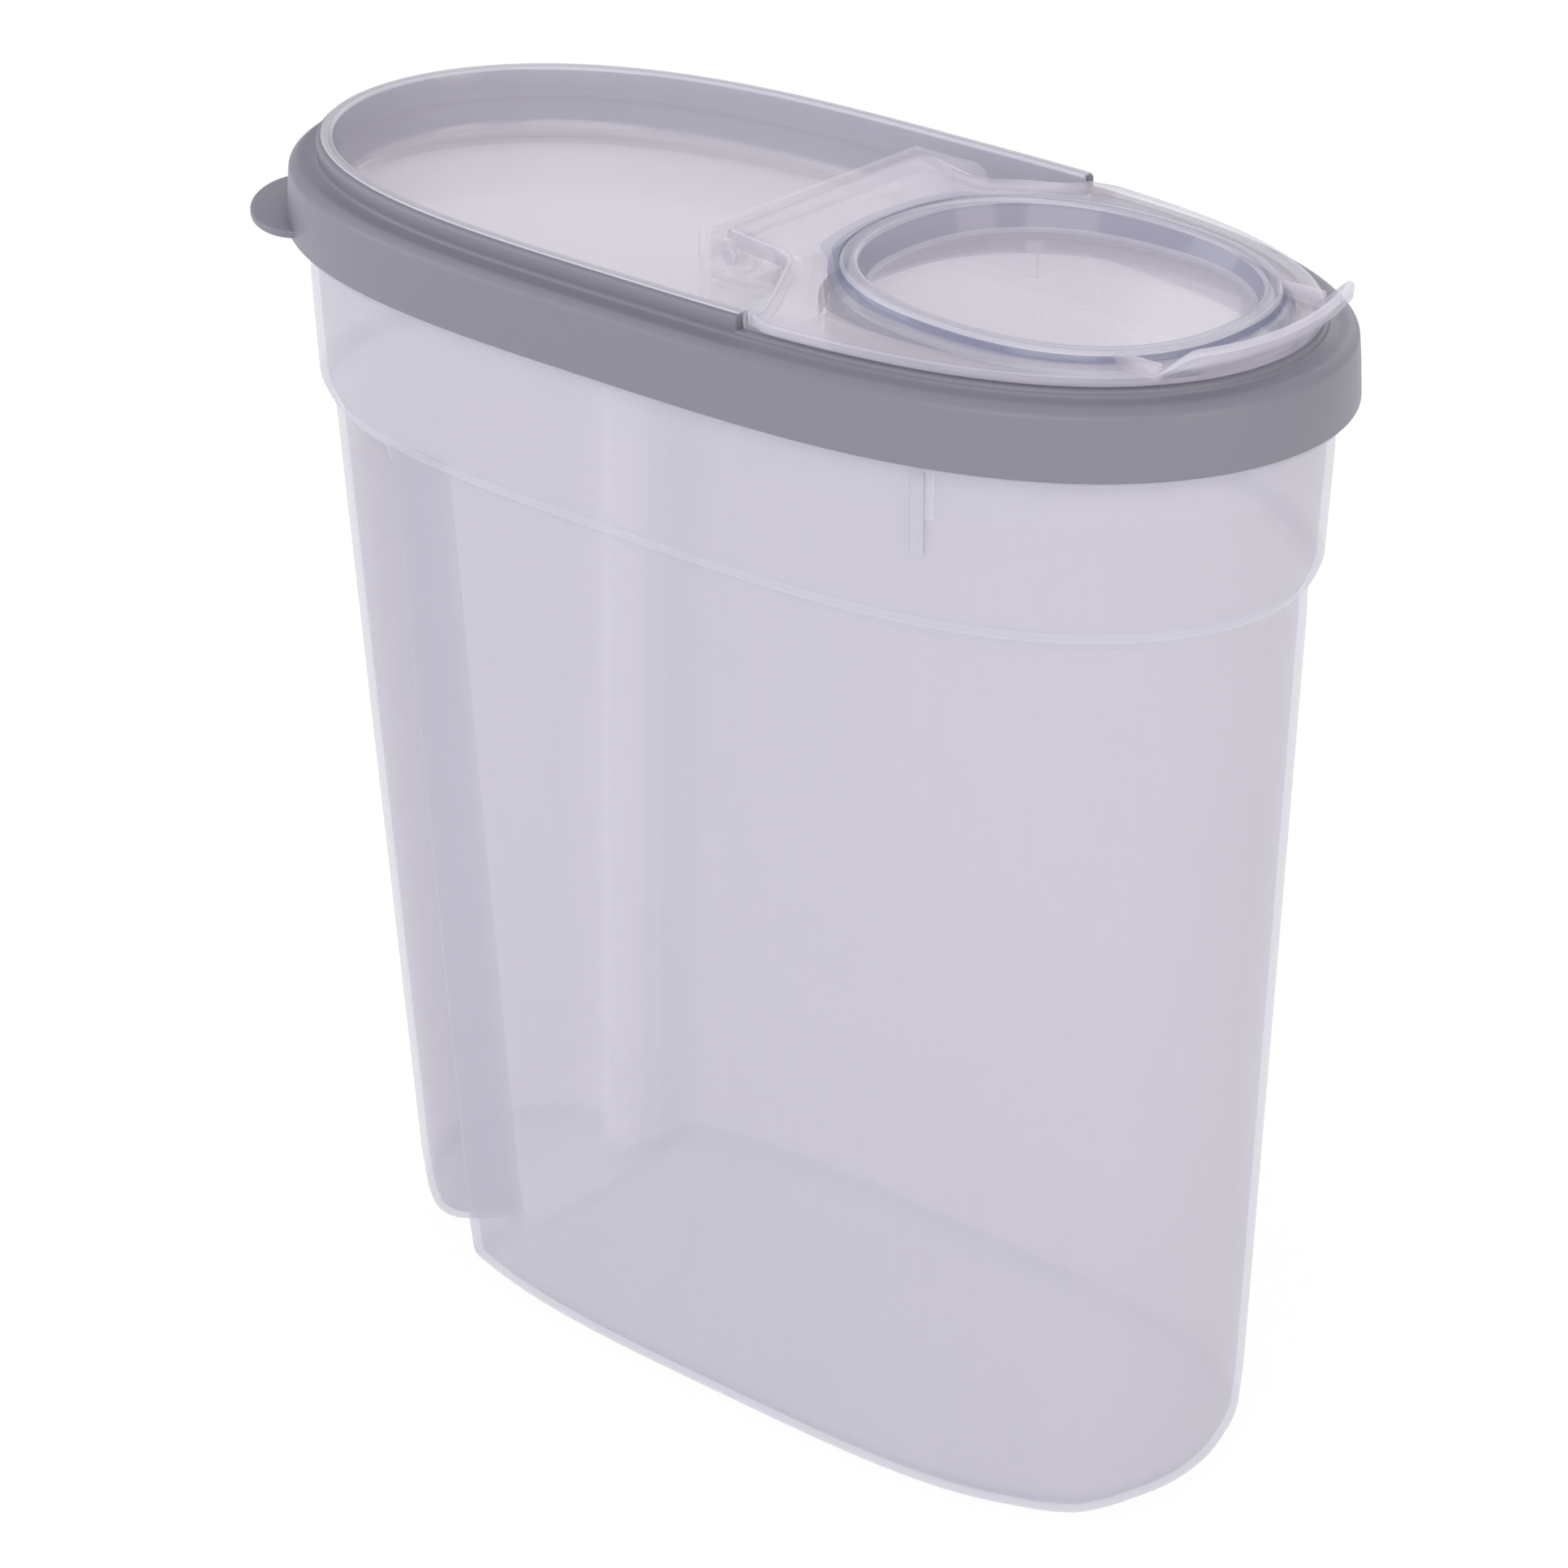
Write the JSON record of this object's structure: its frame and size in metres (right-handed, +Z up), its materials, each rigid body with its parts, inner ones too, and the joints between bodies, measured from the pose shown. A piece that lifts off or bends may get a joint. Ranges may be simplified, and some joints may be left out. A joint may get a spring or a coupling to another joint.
{
  "type": "cereal container with flip spout",
  "caption": "Tapered, translucent dry-food container with finger grooves, a grey lift-off collar lid with a tab, and a hinged clear flip cap over the spout.",
  "frame": {"origin": "centre of the container's base, on the surface it stands on", "axes": "+Z up, +X along the length from the grip end to the spout end, +Y across"},
  "size_m": [0.216, 0.106, 0.2235],
  "materials": {
    "translucent_body": "frosted translucent polypropylene",
    "clear_lid": "clear polypropylene, smooth",
    "grey_collar": "satin"
  },
  "bodies": {
    "tub": {"container": "translucent_body"},
    "lid": {"collar_ring": "grey_collar", "lid_panel": "clear_lid"},
    "cap": {"flip_cap": "clear_lid"}
  },
  "joints": [
    {"name": "lid_lift", "type": "slide", "parent": "tub", "child": "lid", "axis": [0, 0, 1], "range_m": [0, 0.08]},
    {"name": "cap_hinge", "type": "hinge", "parent": "lid", "child": "cap", "pos_m": [0.0086, 0, 0.2195], "axis": [0, -1, 0], "range_deg": [0, 110]}
  ]
}
